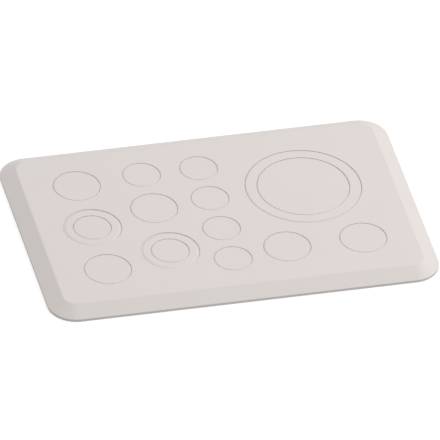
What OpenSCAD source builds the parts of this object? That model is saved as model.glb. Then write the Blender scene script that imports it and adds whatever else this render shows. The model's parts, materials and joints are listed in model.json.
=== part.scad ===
// Cable entry plate: a moulded cover that closes the cable opening of a distribution box.
// Scored discs in its face are knocked out where a cable gland goes in.
// The plate lies on its seat, with the origin in the middle of the seat.
// X runs along the long side, and Z points out of the box.

/* [Plate] */
// Length along X, over the upright edge
plate_l = 218; // [206:1:260]
// Width along Y, over the upright edge
plate_w = 144; // [136:1:180]
// Height of the face above the seat
plate_h = 6.1; // [5.7:0.1:9]
// Height of the upright edge below the bevel
edge_h = 1.6; // [1:0.1:2.4]
// Width of the bevel, seen from above
bevel_w = 8.5; // [7:0.5:11]
// Radius of the outer corners, seen from above
corner_r = 15.5; // [14:0.5:24]
// Radius that blends the bevel into the face
crease_r = 2; // [0.5:0.25:4]
// Thickness of the moulded wall
wall = 2.5; // [2.2:0.1:3]
// Width of the flat seat round the underside
seat_w = 4; // [3:0.5:6]
// Radius in the corner between the underside and its sloping wall
root_r = 1; // [0.4:0.1:2]

/* [Knock-outs] */
// Score diameter for an M20 gland
m20_d = 20.5; // [20:0.1:21]
// Score diameter for an M25 gland
m25_d = 25.5; // [25:0.1:26]
// Diameter of the broad score's outer wall, for an M32 gland
m32_d = 32.5; // [32:0.1:33]
// Score diameter for an M50 gland
m50_d = 50.5; // [50:0.1:51]
// Score diameter for an M63 gland
m63_d = 63.5; // [63:0.1:64]
// Width of a fine score on the face
score_w = 0.7; // [0.5:0.1:1.2]
// Depth of a fine score
score_d = 0.9; // [0.5:0.1:1]
// Width of the broad score round a stepped M20 and M32 knock-out
ring_w = 1.8; // [1.2:0.1:3]
// Depth of the broad score
ring_d = 0.7; // [0.5:0.1:1]
// Thickness of plastic left to break at the root of a score
web_t = 0.6; // [0.4:0.1:0.8]
// Width of the relief groove behind each score
relief_w = 1.4; // [0.8:0.1:2]

/* [Left column] */
// Place of the column along X
left_x = -71; // [-74:0.5:-68]
// Spacing of its knock-outs along Y
left_pitch = 37.25; // [34:0.25:40]

/* [Second column] */
// Place of the column along X
second_x = -34; // [-36:0.5:-32]
// Place of its M25 knock-out along Y
second_m25_y = 10.4; // [8:0.2:13]
// Place of its stepped knock-out along Y
second_m32_y = -27.6; // [-32:0.2:-25]

/* [Third column] */
// Place of the column along X
third_x = -2; // [-4:0.5:2]
// Spacing of its knock-outs along Y
third_pitch = 27; // [25:0.25:28]

/* [Large knock-out and front pair] */
// Place of the large knock-out along X, which the pair is centred on
large_x = 50.7; // [47:0.1:56]
// Place of the large knock-out along Y
large_y = 14.5; // [13:0.25:20]
// Spacing of the pair along X
pair_pitch = 42.5; // [36:0.5:48]
// Place of the pair along Y
pair_y = -35.7; // [-42:0.1:-34]

/* [Hidden] */
$fn = 96;

// How far a cut runs past the surface that it opens
cut_past = 1;

// Slope of the bevel from the level
bevel_angle = atan2(plate_h - edge_h, bevel_w);
// Level of the underside of the face
roof_z = plate_h - wall;

// Where the bevel meets the face in the edge section
crease = [corner_r - bevel_w, plate_h];
// Where the sloping wall meets the underside, one wall inside the crease
root = crease - wall * [tan(bevel_angle / 2), 1];
// Where the sloping wall ends above the seat
seat_in_x = corner_r - seat_w;
seat_in_z = roof_z - (seat_in_x - root.x) * tan(bevel_angle);

// Half lengths of the straight edges
reach_x = plate_l / 2 - corner_r;
reach_y = plate_w / 2 - corner_r;

// Rows of the third column, from the front to the back
third_count = 4;
third_rows = [for (i = [0 : third_count - 1]) (i - (third_count - 1) / 2) * third_pitch];

// Places of each kind of knock-out. The second column's M20 lines up with the third column's last row.
m20_places = [for (y = third_rows) [third_x, y], [second_x, third_rows[third_count - 1]]];
m25_left = [for (side = [-1, 1]) [left_x, side * left_pitch]];
m25_pair = [for (side = [-1, 1]) [large_x + side * pair_pitch / 2, pair_y]];
m25_places = concat(m25_left, m25_pair, [[second_x, second_m25_y]]);
stepped_places = [[left_x, 0], [second_x, second_m32_y]];
large_places = [[large_x, large_y]];

// The corner of a section beyond an arc that blends its level line into its slope
module blend_waste(corner, r) {
    run = r * tan(bevel_angle / 2);
    level_end = corner - [run, 0];
    slope_end = corner + run * [cos(bevel_angle), -sin(bevel_angle)];
    centre = level_end - [0, r];
    difference() {
        polygon([level_end, centre, slope_end, corner]);
        translate(centre) circle(r);
    }
}

// Section of the outside at an edge, measured outwards from the centre of the corner radius
module outer_section() {
    difference() {
        polygon([[0, 0], [corner_r, 0], [corner_r, edge_h], crease, [0, plate_h]]);
        blend_waste(crease, crease_r);
    }
}

// Section of the hollow under the plate, measured the same way
module hollow_section() {
    difference() {
        polygon([[0, -cut_past], [seat_in_x, -cut_past], [seat_in_x, seat_in_z], root, [0, roof_z]]);
        blend_waste(root, root_r);
    }
}

// A section taken round the plate's outline, filled between two levels in the middle
module round_outline(low_z, high_z) {
    translate([-reach_x, -reach_y, low_z]) cube([2 * reach_x, 2 * reach_y, high_z - low_z]);
    for (side = [0, 1]) {
        mirror([side, 0, 0]) translate([reach_x, 0, 0])
            rotate([90, 0, 0]) linear_extrude(2 * reach_y, center = true) children();
        mirror([0, side, 0]) translate([0, reach_y, 0])
            rotate([90, 0, 90]) linear_extrude(2 * reach_x, center = true) children();
    }
    for (side_x = [0, 1], side_y = [0, 1])
        mirror([side_x, 0, 0]) mirror([0, side_y, 0])
            translate([reach_x, reach_y, 0]) rotate_extrude(angle = 90) children();
}

// One score: an upright outer wall and a slope in the face, and a relief groove behind that leaves the web
module score(outer_r, face_w, face_d) {
    inner_r = outer_r - face_w;
    above = plate_h + cut_past;
    rotate_extrude()
        polygon([[outer_r, above], [outer_r, plate_h - face_d], [inner_r, plate_h], [inner_r, above]]);
    rotate_extrude()
        translate([outer_r - relief_w, roof_z - cut_past])
            square([relief_w, wall - face_d - web_t + cut_past]);
}

// The same score at each of several places
module scores(places, outer_r, face_w, face_d) {
    for (place = places)
        translate(place) score(outer_r, face_w, face_d);
}

// Fine scores, whose middle runs on the gland's diameter
module fine_scores(places, d) {
    scores(places, (d + score_w) / 2, score_w, score_d);
}

// The plate, moulded in one piece
module entry_plate() {
    color("#DDD6D3")
        difference() {
            round_outline(0, plate_h) outer_section();
            round_outline(-cut_past, roof_z) hollow_section();
            fine_scores(concat(m20_places, stepped_places), m20_d);
            fine_scores(m25_places, m25_d);
            fine_scores(large_places, m50_d);
            fine_scores(large_places, m63_d);
            scores(stepped_places, m32_d / 2, ring_w, ring_d);
        }
}

entry_plate();
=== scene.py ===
"""Cable entry plate: the moulded plate as a finished mesh, its plastic, and a plain white studio."""

import json
import math

import bpy
from bpy.props import FloatProperty, FloatVectorProperty, IntProperty, PointerProperty
from mathutils import Matrix, Vector


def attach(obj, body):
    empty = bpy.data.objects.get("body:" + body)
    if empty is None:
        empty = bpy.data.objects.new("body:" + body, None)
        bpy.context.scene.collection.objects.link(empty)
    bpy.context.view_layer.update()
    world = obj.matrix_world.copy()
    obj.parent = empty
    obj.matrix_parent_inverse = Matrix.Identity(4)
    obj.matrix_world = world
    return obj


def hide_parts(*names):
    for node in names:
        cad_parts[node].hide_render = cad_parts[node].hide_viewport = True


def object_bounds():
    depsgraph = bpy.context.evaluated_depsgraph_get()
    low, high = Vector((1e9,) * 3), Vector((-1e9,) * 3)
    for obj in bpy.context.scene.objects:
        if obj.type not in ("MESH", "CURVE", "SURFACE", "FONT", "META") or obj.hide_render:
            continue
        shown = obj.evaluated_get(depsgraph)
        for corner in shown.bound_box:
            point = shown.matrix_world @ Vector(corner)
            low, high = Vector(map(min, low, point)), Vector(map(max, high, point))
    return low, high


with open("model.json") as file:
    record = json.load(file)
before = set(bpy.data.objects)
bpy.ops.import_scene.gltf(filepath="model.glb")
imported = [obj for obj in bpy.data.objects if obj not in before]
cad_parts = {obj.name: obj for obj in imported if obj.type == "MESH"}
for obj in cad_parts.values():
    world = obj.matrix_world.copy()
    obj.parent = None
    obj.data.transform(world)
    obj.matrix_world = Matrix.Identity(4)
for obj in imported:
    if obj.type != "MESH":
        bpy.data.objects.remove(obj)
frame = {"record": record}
CAD_LOW, CAD_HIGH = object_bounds()
CAD_SIZE = CAD_HIGH - CAD_LOW

bl_info = {
    "name": "Cable Entry Plate",
    "version": (1, 0, 0),
    "blender": (4, 5, 0),
    "location": "3D View > Sidebar > Entry Plate",
    "description": "Builds a moulded cable entry plate with scored knock-outs, and a studio for it",
    "category": "Object",
}

MM = 0.001
NODE = "entry_plate"
BODY = "root"

# The record states each score as a mount of this kind, and the names of the broad ones begin like this.
SCORE_KIND = "other"
BROAD_NAME = "m32"

# The image is square and this many pixels wide.
IMAGE_SIDE = 440
SENSOR_MM = 36.0
WHITE = (1.0, 1.0, 1.0, 1.0)

# Steps of each small arc in a section.
ARC_STEPS = 4
# How far a groove's section runs on over the flats beside it, to where their fill begins. It is also how
# near to the level of a flat an open edge has to be, to be filled with it.
FLAT_MARGIN = 0.2 * MM
# Points nearer to each other than this become one.
WELD = 0.002 * MM
# How strongly large faces set the shading at the arcs beside them: the most that there is.
FLAT_WEIGHT = 100

# How many finer layers the noise of the clouds and of the grain has.
CLOUD_DETAIL = 3.0
GRAIN_DETAIL = 2.0


def linear(hex_colour):
    """An sRGB hex colour as linear red, green and blue."""
    shares = [int(hex_colour[i:i + 2], 16) / 255 for i in (1, 3, 5)]
    return tuple(c / 12.92 if c <= 0.04045 else ((c + 0.055) / 1.055) ** 2.4 for c in shares)


def length_property(name, description, default_mm):
    """A length, given here in millimetres and kept in metres."""
    return FloatProperty(
        name=name, description=description, default=default_mm * MM, min=0.0, unit="LENGTH", precision=5
    )


def angle_property(name, description, default_degrees):
    """An angle, given here in degrees and kept in radians."""
    return FloatProperty(
        name=name, description=description, default=math.radians(default_degrees), subtype="ANGLE"
    )


def colour_property(name, description, default_hex):
    """A colour, given here as an sRGB hex value and kept as linear light."""
    return FloatVectorProperty(
        name=name, description=description, default=linear(default_hex), min=0.0, max=1.0, subtype="COLOR"
    )


def fill_inputs(tree, node, inputs):
    """Fills a node's inputs with values, or with links from other nodes' sockets."""
    for key, value in inputs.items():
        if isinstance(value, bpy.types.NodeSocket):
            tree.links.new(value, node.inputs[key])
        else:
            node.inputs[key].default_value = value


def add_node(tree, kind, inputs=None, **settings):
    """Adds one node with its settings, and fills its inputs."""
    node = tree.nodes.new(kind)
    for name, value in settings.items():
        setattr(node, name, value)
    fill_inputs(tree, node, inputs or {})
    return node


class PlateSizes(bpy.types.PropertyGroup):
    """Sizes of the plate, over all and at its edges."""

    length: length_property("Length", "Length over the upright edge", CAD_SIZE.x / MM)
    width: length_property("Width", "Width over the upright edge", CAD_SIZE.y / MM)
    height: length_property("Height", "Height of the face above the seat", CAD_SIZE.z / MM)
    edge_height: length_property("Edge height", "Height of the upright edge below the bevel", 1.6)
    bevel_width: length_property("Bevel width", "Width of the bevel, seen from above", 8.5)
    corner_radius: length_property("Corner radius", "Radius of the outer corners, seen from above", 15.5)
    crease_radius: length_property("Crease radius", "Radius that blends the bevel into the face", 2.0)
    wall: length_property("Wall", "Thickness of the moulded wall", 2.5)
    seat_width: length_property("Seat width", "Width of the flat seat round the underside", 4.0)
    root_radius: length_property("Root radius", "Radius where the sloping wall meets the underside", 1.0)
    edge_round: length_property("Edge rounding", "Radius that takes the sharpness off the edges", 0.25)
    corner_steps: IntProperty(name="Corner steps", description="Steps round a corner", default=24, min=4)


class ScoreSizes(bpy.types.PropertyGroup):
    """Sizes of the scores round the knock-outs."""

    score_width: length_property("Score width", "Width of a fine score on the face", 0.7)
    score_depth: length_property("Score depth", "Depth of a fine score", 0.9)
    ring_width: length_property("Ring width", "Width of the broad score of a stepped knock-out", 1.8)
    ring_depth: length_property("Ring depth", "Depth of the broad score", 0.7)
    web: length_property("Web", "Plastic left to break at the root of a score", 0.6)
    relief_width: length_property("Relief width", "Width of the groove behind each score", 1.4)
    lip_round: length_property("Lip rounding", "Radius that takes the sharpness off a score", 0.08)
    circle_steps: IntProperty(name="Circle steps", description="Steps round a score", default=128, min=12)


class PlasticFinish(bpy.types.PropertyGroup):
    """Colour and grain of the moulded plastic."""

    colour: colour_property("Colour", "Colour of the plastic", "#DDD6D3")
    cloud_colour: colour_property("Cloud colour", "Colour where the melt has flowed thin", "#DAD3D0")
    cloud: length_property("Cloud", "Width of the faint clouds that the melt leaves", 30.0)
    roughness: FloatProperty(
        name="Roughness", description="How matt the moulded surface is",
        default=0.55, min=0.0, max=1.0, subtype="FACTOR",
    )
    roughness_spread: FloatProperty(
        name="Roughness spread", description="How far the grain moves the roughness, either way",
        default=0.05, min=0.0, max=0.5, subtype="FACTOR",
    )
    grain: length_property("Grain", "Width of a pit in the grain of the spark-eroded mould", 0.8)
    grain_depth: length_property("Grain depth", "Depth of the grain", 0.05)
    ior: FloatProperty(name="IOR", description="Refractive index of the plastic", default=1.53, min=1.0)


class StageSettings(bpy.types.PropertyGroup):
    """Camera, light and floor of the studio."""

    azimuth: angle_property("Azimuth", "Turn of the camera round the plate", -15.347)
    elevation: angle_property("Elevation", "Height of the camera above the floor", 37.942)
    roll: angle_property("Roll", "Turn of the camera about its line of sight", 2.965)
    distance: FloatProperty(
        name="Distance", description="From the plate to the camera", default=9.0, min=0.1, unit="LENGTH"
    )
    pixels_per_mm: FloatProperty(
        name="Scale", description="Pixels of the image to a millimetre of the plate",
        default=1.83645, min=0.01,
    )
    aim_right: length_property("Aim right", "How far right of the origin the camera looks", 0.676)
    aim_up: length_property("Aim up", "How far above the origin the camera looks", 0.799)
    sky: FloatProperty(
        name="Sky", description="Brightness of the overhead sky where it is brightest",
        default=1.046, min=0.0,
    )
    sky_lean: angle_property("Sky lean", "How far right of overhead the sky is brightest", 10.0)
    sky_reach: angle_property("Sky reach", "How far from its brightest part the sky fades to dark", 120.0)
    key_power: FloatProperty(
        name="Key power", description="Power of the soft box on the right",
        default=5.53, min=0.0, unit="POWER",
    )
    key_side: FloatProperty(
        name="Key side", description="Side of the soft box", default=0.8, min=0.01, unit="LENGTH"
    )
    key_place: FloatVectorProperty(
        name="Key place", description="Place of the soft box",
        default=(0.996, 0.0, 0.836), subtype="TRANSLATION",
    )
    card_colour: colour_property("Card colour", "Colour of the floor's card", "#BCBCBC")
    card_lift: FloatProperty(
        name="Card lift", description="White added to the card where it is seen, but not to its light",
        default=0.6, min=0.0,
    )
    floor_side: FloatProperty(
        name="Floor side", description="Side of the floor", default=6.0, min=0.5, unit="LENGTH"
    )


def moulded_plastic(finish):
    """Injection-moulded ABS from a spark-eroded mould."""
    material = bpy.data.materials.new("moulded_abs_light_grey")
    material.use_nodes = True
    tree = material.node_tree
    tree.nodes.clear()
    place = add_node(tree, "ShaderNodeTexCoord").outputs["Object"]

    # The eye gets an even warm grey, with clouds so faint that they only keep it from looking painted.
    clouds = add_node(
        tree, "ShaderNodeTexNoise", {"Vector": place, "Scale": 1 / finish.cloud, "Detail": CLOUD_DETAIL}
    )
    tint = add_node(
        tree, "ShaderNodeMix",
        {"Factor": clouds.outputs["Fac"], "A": (*finish.colour, 1.0), "B": (*finish.cloud_colour, 1.0)},
        data_type="RGBA",
    )

    # The mould's grain breaks up the sheen. A real one is several times finer: it is drawn coarser to show.
    grain = add_node(
        tree, "ShaderNodeTexNoise", {"Vector": place, "Scale": 1 / finish.grain, "Detail": GRAIN_DETAIL}
    )
    matt = add_node(
        tree, "ShaderNodeMapRange",
        {
            "Value": grain.outputs["Fac"],
            "To Min": finish.roughness - finish.roughness_spread,
            "To Max": finish.roughness + finish.roughness_spread,
        },
    )
    pits = add_node(
        tree, "ShaderNodeBump", {"Height": grain.outputs["Fac"], "Distance": finish.grain_depth}
    )
    shader = add_node(
        tree, "ShaderNodeBsdfPrincipled",
        {
            "Base Color": tint.outputs["Result"],
            "Roughness": matt.outputs["Result"],
            "Normal": pits.outputs["Normal"],
            "IOR": finish.ior,
        },
    )
    add_node(tree, "ShaderNodeOutputMaterial", {"Surface": shader.outputs["BSDF"]})
    return material


def section_curve(tree, points, arc_steps):
    """Nodes for an open section: points of inset, height and rounding, joined by lines and rounded.

    A sweep lays a section's X outwards and its Y downwards, so insets and heights are both turned over.
    """
    count = len(points)
    index = add_node(tree, "GeometryNodeInputIndex").outputs["Index"]
    places = add_node(tree, "GeometryNodeIndexSwitch", {"Index": index}, data_type="VECTOR")
    roundings = add_node(tree, "GeometryNodeIndexSwitch", {"Index": index}, data_type="FLOAT")
    for switch in (places, roundings):
        while len(switch.index_switch_items) < count:
            switch.index_switch_items.new()
    # The first input of a switch is its index, so the points begin at the next one.
    for number, (inset, height, rounding) in enumerate(points, start=1):
        point = add_node(tree, "ShaderNodeCombineXYZ", {"X": inset, "Y": height})
        fill_inputs(tree, places, {number: point.outputs["Vector"]})
        fill_inputs(tree, roundings, {number: rounding})
    turned = add_node(
        tree, "ShaderNodeVectorMath", {0: places.outputs["Output"], 1: (-1.0, -1.0, 0.0)},
        operation="MULTIPLY",
    )
    line = add_node(tree, "GeometryNodeMeshLine", {"Count": count})
    placed = add_node(
        tree, "GeometryNodeSetPosition",
        {"Geometry": line.outputs["Mesh"], "Position": turned.outputs["Vector"]},
    )
    corners = add_node(tree, "GeometryNodeMeshToCurve", {"Mesh": placed.outputs["Geometry"]})
    rounded = add_node(
        tree, "GeometryNodeFilletCurve",
        {
            "Curve": corners.outputs["Curve"],
            "Count": arc_steps,
            "Radius": roundings.outputs["Output"],
            "Limit Radius": True,
        },
        mode="POLY",
    )
    return rounded.outputs["Curve"]


def swept_rim(tree, given):
    """The rim, swept round the outline.

    Its section goes from the face over the bevel and the edge, along the seat and up to the underside.
    """
    outline = add_node(
        tree, "GeometryNodeCurvePrimitiveQuadrilateral",
        {"Width": given["Length"], "Height": given["Width"]},
    )
    rounded = add_node(
        tree, "GeometryNodeFilletCurve",
        {
            "Curve": outline.outputs["Curve"],
            "Count": given["Corner steps"],
            "Radius": given["Corner radius"],
        },
        mode="POLY",
    )
    face_start = add_node(
        tree, "ShaderNodeMath", {0: given["Bevel width"], 1: given["Crease radius"]}, operation="ADD"
    )
    roof_end = add_node(
        tree, "ShaderNodeMath", {0: given["Root inset"], 1: given["Root radius"]}, operation="ADD"
    )
    section = section_curve(
        tree,
        [
            (face_start.outputs["Value"], given["Height"], 0.0),
            (given["Bevel width"], given["Height"], given["Crease radius"]),
            (0.0, given["Edge height"], given["Edge rounding"]),
            (0.0, 0.0, given["Edge rounding"]),
            (given["Seat width"], 0.0, given["Edge rounding"]),
            (given["Seat width"], given["Seat wall"], given["Edge rounding"]),
            (given["Root inset"], given["Roof"], given["Root radius"]),
            (roof_end.outputs["Value"], given["Roof"], 0.0),
        ],
        given["Arc steps"],
    )
    rim = add_node(
        tree, "GeometryNodeCurveToMesh", {"Curve": rounded.outputs["Curve"], "Profile Curve": section}
    )
    return rim.outputs["Mesh"]


def score_sections(tree, given, is_broad):
    """The two sections of a score: its groove in the face, and the relief groove behind that."""
    width = add_node(
        tree, "GeometryNodeSwitch",
        {"Switch": is_broad, "False": given["Score width"], "True": given["Ring width"]},
        input_type="FLOAT",
    ).outputs["Output"]
    depth = add_node(
        tree, "GeometryNodeSwitch",
        {"Switch": is_broad, "False": given["Score depth"], "True": given["Ring depth"]},
        input_type="FLOAT",
    ).outputs["Output"]
    root = add_node(
        tree, "ShaderNodeMath", {0: given["Height"], 1: depth}, operation="SUBTRACT"
    ).outputs["Value"]
    relief = add_node(
        tree, "ShaderNodeMath", {0: root, 1: given["Web"]}, operation="SUBTRACT"
    ).outputs["Value"]
    disc_edge = add_node(
        tree, "ShaderNodeMath", {0: width, 1: given["Margin"]}, operation="ADD"
    ).outputs["Value"]
    relief_edge = add_node(
        tree, "ShaderNodeMath", {0: given["Relief width"], 1: given["Margin"]}, operation="ADD"
    ).outputs["Value"]
    outside = add_node(
        tree, "ShaderNodeMath", {0: given["Margin"], 1: -1.0}, operation="MULTIPLY"
    ).outputs["Value"]
    lip = given["Lip rounding"]
    face_section = section_curve(
        tree,
        [
            (disc_edge, given["Height"], 0.0),
            (width, given["Height"], lip),
            (0.0, root, lip),
            (0.0, given["Height"], lip),
            (outside, given["Height"], 0.0),
        ],
        given["Arc steps"],
    )
    relief_section = section_curve(
        tree,
        [
            (outside, given["Roof"], 0.0),
            (0.0, given["Roof"], lip),
            (0.0, relief, lip),
            (given["Relief width"], relief, lip),
            (given["Relief width"], given["Roof"], lip),
            (relief_edge, given["Roof"], 0.0),
        ],
        given["Arc steps"],
    )
    return face_section, relief_section


def swept_scores(tree, given):
    """The scores, whose sections are swept round each point of the layout in turn."""
    zone_in = add_node(tree, "GeometryNodeForeachGeometryElementInput")
    zone_out = add_node(tree, "GeometryNodeForeachGeometryElementOutput", domain="POINT")
    zone_in.pair_with_output(zone_out)
    zone_out.input_items.new("FLOAT", "Wall radius")
    zone_out.input_items.new("BOOLEAN", "Broad")
    zone_out.input_items.new("VECTOR", "Place")
    wall_radius = add_node(
        tree, "GeometryNodeInputNamedAttribute", {"Name": "wall_radius"}, data_type="FLOAT"
    )
    broad = add_node(tree, "GeometryNodeInputNamedAttribute", {"Name": "broad"}, data_type="BOOLEAN")
    centre = add_node(tree, "GeometryNodeInputPosition")
    fill_inputs(
        tree, zone_in,
        {
            "Geometry": given["Layout"],
            "Wall radius": wall_radius.outputs["Attribute"],
            "Broad": broad.outputs["Attribute"],
            "Place": centre.outputs["Position"],
        },
    )
    circle = add_node(
        tree, "GeometryNodeCurvePrimitiveCircle",
        {"Resolution": given["Circle steps"], "Radius": zone_in.outputs["Wall radius"]},
    )
    grooves = add_node(tree, "GeometryNodeJoinGeometry")
    for section in score_sections(tree, given, zone_in.outputs["Broad"]):
        groove = add_node(
            tree, "GeometryNodeCurveToMesh", {"Curve": circle.outputs["Curve"], "Profile Curve": section}
        )
        fill_inputs(tree, grooves, {"Geometry": groove.outputs["Mesh"]})
    moved = add_node(
        tree, "GeometryNodeTransform",
        {"Geometry": grooves.outputs["Geometry"], "Translation": zone_in.outputs["Place"]},
    )
    fill_inputs(tree, zone_out, {"Geometry": moved.outputs["Geometry"]})
    return zone_out.outputs["Generation_0"]


def with_flats(tree, given, walls):
    """The walls with what is open at the level of the face, and at that of the underside, filled flat."""
    # An open edge has one face. Inputs 2 and 3 are where a comparison takes whole numbers.
    edges = add_node(tree, "GeometryNodeInputMeshEdgeNeighbors")
    is_open = add_node(
        tree, "FunctionNodeCompare", {2: edges.outputs["Face Count"], 3: 1},
        data_type="INT", operation="EQUAL",
    )
    position = add_node(tree, "GeometryNodeInputPosition")
    level = add_node(tree, "ShaderNodeSeparateXYZ", {"Vector": position.outputs["Position"]})
    whole = add_node(tree, "GeometryNodeJoinGeometry", {"Geometry": walls})
    for name, turn_over in (("Height", False), ("Roof", True)):
        at_level = add_node(
            tree, "FunctionNodeCompare",
            {0: level.outputs["Z"], 1: given[name], "Epsilon": given["Margin"]},
            data_type="FLOAT", operation="EQUAL",
        )
        chosen = add_node(
            tree, "FunctionNodeBooleanMath",
            {0: is_open.outputs["Result"], 1: at_level.outputs["Result"]},
            operation="AND",
        )
        loops = add_node(
            tree, "GeometryNodeMeshToCurve", {"Mesh": walls, "Selection": chosen.outputs["Boolean"]}
        )
        flat = add_node(
            tree, "GeometryNodeFillCurve", {"Curve": loops.outputs["Curve"]}, mode="TRIANGLES"
        )
        lift = add_node(tree, "ShaderNodeCombineXYZ", {"Z": given[name]})
        lifted = add_node(
            tree, "GeometryNodeTransform",
            {"Geometry": flat.outputs["Mesh"], "Translation": lift.outputs["Vector"]},
        )
        faced = add_node(
            tree, "GeometryNodeFlipFaces", {"Mesh": lifted.outputs["Geometry"], "Selection": turn_over}
        )
        fill_inputs(tree, whole, {"Geometry": faced.outputs["Mesh"]})
    return whole.outputs["Geometry"]


def plate_tree(sizes, counts):
    """Geometry nodes for the plate: its rim, its scores and its flats, welded into one closed mesh."""
    tree = bpy.data.node_groups.new("Moulded plate", "GeometryNodeTree")
    tree.interface.new_socket("Layout", in_out="INPUT", socket_type="NodeSocketGeometry")
    for name in sizes:
        socket = tree.interface.new_socket(name, in_out="INPUT", socket_type="NodeSocketFloat")
        socket.subtype = "DISTANCE"
    for name in counts:
        tree.interface.new_socket(name, in_out="INPUT", socket_type="NodeSocketInt")
    tree.interface.new_socket("Material", in_out="INPUT", socket_type="NodeSocketMaterial")
    tree.interface.new_socket("Mesh", in_out="OUTPUT", socket_type="NodeSocketGeometry")
    given = add_node(tree, "NodeGroupInput").outputs

    walls = add_node(tree, "GeometryNodeJoinGeometry", {"Geometry": swept_rim(tree, given)})
    fill_inputs(tree, walls, {"Geometry": swept_scores(tree, given)})
    whole = with_flats(tree, given, walls.outputs["Geometry"])
    welded = add_node(
        tree, "GeometryNodeMergeByDistance", {"Geometry": whole, "Distance": given["Weld"]}
    )
    smooth = add_node(tree, "GeometryNodeSetShadeSmooth", {"Geometry": welded.outputs["Geometry"]})
    real = add_node(tree, "GeometryNodeRealizeInstances", {"Geometry": smooth.outputs["Geometry"]})
    coloured = add_node(
        tree, "GeometryNodeSetMaterial",
        {"Geometry": real.outputs["Geometry"], "Material": given["Material"]},
    )
    add_node(tree, "NodeGroupOutput", {"Mesh": coloured.outputs["Geometry"]})
    return tree


def score_layout():
    """A mesh with a point for each score, with the radius of its wall and whether it is a broad one."""
    scores = [mount for mount in frame["record"]["mounts"] if mount["kind"] == SCORE_KIND]
    layout = bpy.data.meshes.new("score_layout")
    layout.from_pydata([(mount["pos_m"][0], mount["pos_m"][1], 0.0) for mount in scores], [], [])
    radius = layout.attributes.new("wall_radius", "FLOAT", "POINT")
    broad = layout.attributes.new("broad", "BOOLEAN", "POINT")
    for number, mount in enumerate(scores):
        radius.data[number].value = mount["dims"]["r_mm"] * MM
        broad.data[number].value = mount["name"].startswith(BROAD_NAME)
    return layout


def plate_lengths(plate, score):
    """The lengths that the plate's nodes take, by the names of their inputs."""
    bevel_angle = math.atan2(plate.height - plate.edge_height, plate.bevel_width)
    root_inset = plate.bevel_width + plate.wall * math.tan(bevel_angle / 2)
    roof = plate.height - plate.wall
    return {
        "Length": plate.length,
        "Width": plate.width,
        "Height": plate.height,
        "Edge height": plate.edge_height,
        "Bevel width": plate.bevel_width,
        "Corner radius": plate.corner_radius,
        "Crease radius": plate.crease_radius,
        "Edge rounding": plate.edge_round,
        "Seat width": plate.seat_width,
        "Seat wall": roof - (root_inset - plate.seat_width) * math.tan(bevel_angle),
        "Root inset": root_inset,
        "Root radius": plate.root_radius,
        "Roof": roof,
        "Score width": score.score_width,
        "Score depth": score.score_depth,
        "Ring width": score.ring_width,
        "Ring depth": score.ring_depth,
        "Web": score.web,
        "Relief width": score.relief_width,
        "Lip rounding": score.lip_round,
        "Margin": FLAT_MARGIN,
        "Weld": WELD,
    }


class ENTRYPLATE_OT_plate(bpy.types.Operator):
    """Make the moulded plate with its bevel, seat, scores and underside"""

    bl_idname = "entryplate.plate"
    bl_label = "Make Plate"

    def execute(self, context):
        plate = context.scene.entry_plate_sizes
        score = context.scene.entry_plate_scores
        sizes = plate_lengths(plate, score)
        counts = {
            "Corner steps": plate.corner_steps,
            "Circle steps": score.circle_steps,
            "Arc steps": ARC_STEPS,
        }
        tree = plate_tree(sizes, counts)
        layout = score_layout()
        piece = bpy.data.objects.new("moulded_plate", layout)
        context.scene.collection.objects.link(piece)
        modifier = piece.modifiers.new("Moulded plate", "NODES")
        modifier.node_group = tree
        values = {**sizes, **counts, "Material": moulded_plastic(context.scene.entry_plate_finish)}
        for socket in tree.interface.items_tree:
            if socket.in_out == "INPUT" and socket.name in values:
                modifier[socket.identifier] = values[socket.name]
        flats_first = piece.modifiers.new("Flat shading", "WEIGHTED_NORMAL")
        flats_first.weight = FLAT_WEIGHT
        depsgraph = context.evaluated_depsgraph_get()
        mesh = bpy.data.meshes.new_from_object(piece.evaluated_get(depsgraph), depsgraph=depsgraph)
        if not mesh.polygons:
            raise RuntimeError("the plate's nodes made no faces")
        piece.modifiers.clear()
        piece.data = mesh
        mesh.name = "moulded_plate"
        bpy.data.meshes.remove(layout)
        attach(piece, BODY)
        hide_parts(NODE)
        return {"FINISHED"}


def seen_white(tree):
    """A factor that is 1 for what the camera sees, in gloss and glass too, and 0 for light on the plate."""
    path = add_node(tree, "ShaderNodeLightPath")
    seen = path.outputs["Is Camera Ray"]
    for name in ("Is Glossy Ray", "Is Transmission Ray"):
        seen = add_node(
            tree, "ShaderNodeMath", {0: seen, 1: path.outputs[name]}, operation="MAXIMUM"
        ).outputs["Value"]
    return seen


def matt_card(stage):
    """Matt card: its grey is the bounce that it gives the plate, and it looks white but for the shadow."""
    material = bpy.data.materials.new("matt_white_card")
    material.use_nodes = True
    tree = material.node_tree
    tree.nodes.clear()
    card = add_node(tree, "ShaderNodeBsdfDiffuse", {"Color": (*stage.card_colour, 1.0)})
    lift = add_node(
        tree, "ShaderNodeMath", {0: seen_white(tree), 1: stage.card_lift}, operation="MULTIPLY"
    )
    glow = add_node(tree, "ShaderNodeEmission", {"Strength": lift.outputs["Value"]})
    both = add_node(tree, "ShaderNodeAddShader", {0: card.outputs["BSDF"], 1: glow.outputs["Emission"]})
    add_node(tree, "ShaderNodeOutputMaterial", {"Surface": both.outputs["Shader"]})
    return material


def studio_floor(stage):
    """A square of card under the plate."""
    half = stage.floor_side / 2
    corners = [(-half, -half), (half, -half), (half, half), (-half, half)]
    mesh = bpy.data.meshes.new("floor")
    mesh.from_pydata([(x, y, CAD_LOW.z) for x, y in corners], [], [(0, 1, 2, 3)])
    mesh.materials.append(matt_card(stage))
    return bpy.data.objects.new("floor", mesh)


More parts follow.
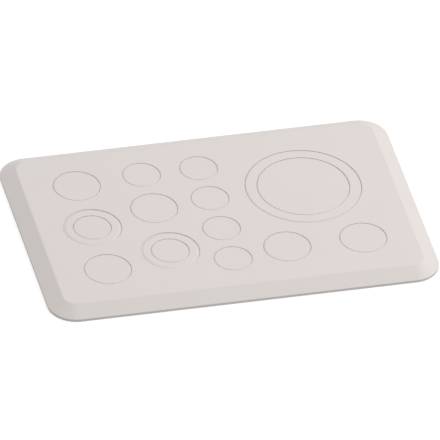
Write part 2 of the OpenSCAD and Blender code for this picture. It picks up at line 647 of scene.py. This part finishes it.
def studio_sky(stage):
    """A soft overhead sky that fades downwards. The camera itself sees plain white there."""
    world = bpy.data.worlds.new("studio")
    world.use_nodes = True
    tree = world.node_tree
    tree.nodes.clear()
    along = add_node(tree, "ShaderNodeTexCoord").outputs["Generated"]
    brightest = Vector((math.sin(stage.sky_lean), 0.0, math.cos(stage.sky_lean)))
    nearness = add_node(tree, "ShaderNodeVectorMath", {0: along, 1: brightest}, operation="DOT_PRODUCT")
    fade = add_node(
        tree, "ShaderNodeMapRange",
        {
            "Value": nearness.outputs["Value"],
            "From Min": math.cos(stage.sky_reach),
            "To Max": stage.sky,
        },
    )
    sky = add_node(
        tree, "ShaderNodeBackground", {"Color": WHITE, "Strength": fade.outputs["Result"]}
    )
    white = add_node(tree, "ShaderNodeBackground", {"Color": WHITE, "Strength": 1.0})
    mixed = add_node(
        tree, "ShaderNodeMixShader",
        {0: seen_white(tree), 1: sky.outputs["Background"], 2: white.outputs["Background"]},
    )
    add_node(tree, "ShaderNodeOutputWorld", {"Surface": mixed.outputs["Shader"]})
    return world


def soft_box(stage):
    """A square lamp that faces the plate."""
    lamp = bpy.data.lights.new("soft_box", "AREA")
    lamp.energy = stage.key_power
    lamp.size = stage.key_side
    key = bpy.data.objects.new("soft_box", lamp)
    key.location = stage.key_place
    key.rotation_euler = Vector(stage.key_place).to_track_quat("Z", "Y").to_euler()
    return key


def studio_camera(stage):
    """A far camera with a long lens, turned a little about its line of sight."""
    level = Vector((math.cos(stage.azimuth), math.sin(stage.azimuth), 0.0))
    ahead = Vector((-math.sin(stage.azimuth), math.cos(stage.azimuth), 0.0))
    back = Vector((0.0, 0.0, math.sin(stage.elevation))) - ahead * math.cos(stage.elevation)
    upright = back.cross(level)
    right = level * math.cos(stage.roll) + upright * math.sin(stage.roll)
    up = back.cross(right)
    lens = bpy.data.cameras.new("camera")
    lens.sensor_width = SENSOR_MM
    lens.lens = stage.pixels_per_mm / MM * stage.distance * SENSOR_MM / IMAGE_SIDE
    lens.clip_end = stage.distance + stage.floor_side
    camera = bpy.data.objects.new("camera", lens)
    turn = Matrix((right, up, back)).transposed().to_4x4()
    place = right * stage.aim_right + up * stage.aim_up + back * stage.distance
    camera.matrix_world = Matrix.Translation(place) @ turn
    return camera


class ENTRYPLATE_OT_stage(bpy.types.Operator):
    """Set up the floor, the light and the camera"""

    bl_idname = "entryplate.stage"
    bl_label = "Set Stage"

    def execute(self, context):
        scene = context.scene
        stage = scene.entry_plate_stage
        scene.view_settings.view_transform = "Standard"
        floor = studio_floor(stage)
        camera = studio_camera(stage)
        for item in (floor, soft_box(stage), camera):
            scene.collection.objects.link(item)
        scene.world = studio_sky(stage)
        scene.camera = camera
        return {"FINISHED"}


class ENTRYPLATE_PT_panel(bpy.types.Panel):
    """The plate's sizes, finish and stage"""

    bl_idname = "ENTRYPLATE_PT_panel"
    bl_label = "Entry Plate"
    bl_space_type = "VIEW_3D"
    bl_region_type = "UI"
    bl_category = "Entry Plate"

    def draw(self, context):
        for title, name, operator in SECTIONS:
            box = self.layout.box()
            box.label(text=title)
            group = getattr(context.scene, name)
            for setting in group.__annotations__:
                box.prop(group, setting)
            if operator:
                box.operator(operator)


GROUPS = {
    "entry_plate_sizes": PlateSizes,
    "entry_plate_scores": ScoreSizes,
    "entry_plate_finish": PlasticFinish,
    "entry_plate_stage": StageSettings,
}
# Each section of the panel: its title, its settings and the button below them, if there is one.
SECTIONS = (
    ("Plate", "entry_plate_sizes", None),
    ("Scores", "entry_plate_scores", None),
    ("Plastic", "entry_plate_finish", ENTRYPLATE_OT_plate.bl_idname),
    ("Stage", "entry_plate_stage", ENTRYPLATE_OT_stage.bl_idname),
)
CLASSES = (*GROUPS.values(), ENTRYPLATE_OT_plate, ENTRYPLATE_OT_stage, ENTRYPLATE_PT_panel)


def register():
    for cls in CLASSES:
        bpy.utils.register_class(cls)
    for name, group in GROUPS.items():
        setattr(bpy.types.Scene, name, PointerProperty(type=group))


def unregister():
    for name in GROUPS:
        delattr(bpy.types.Scene, name)
    for cls in reversed(CLASSES):
        bpy.utils.unregister_class(cls)


def main():
    register()
    bpy.ops.entryplate.plate()
    bpy.ops.entryplate.stage()


if __name__ == "__main__":
    main()
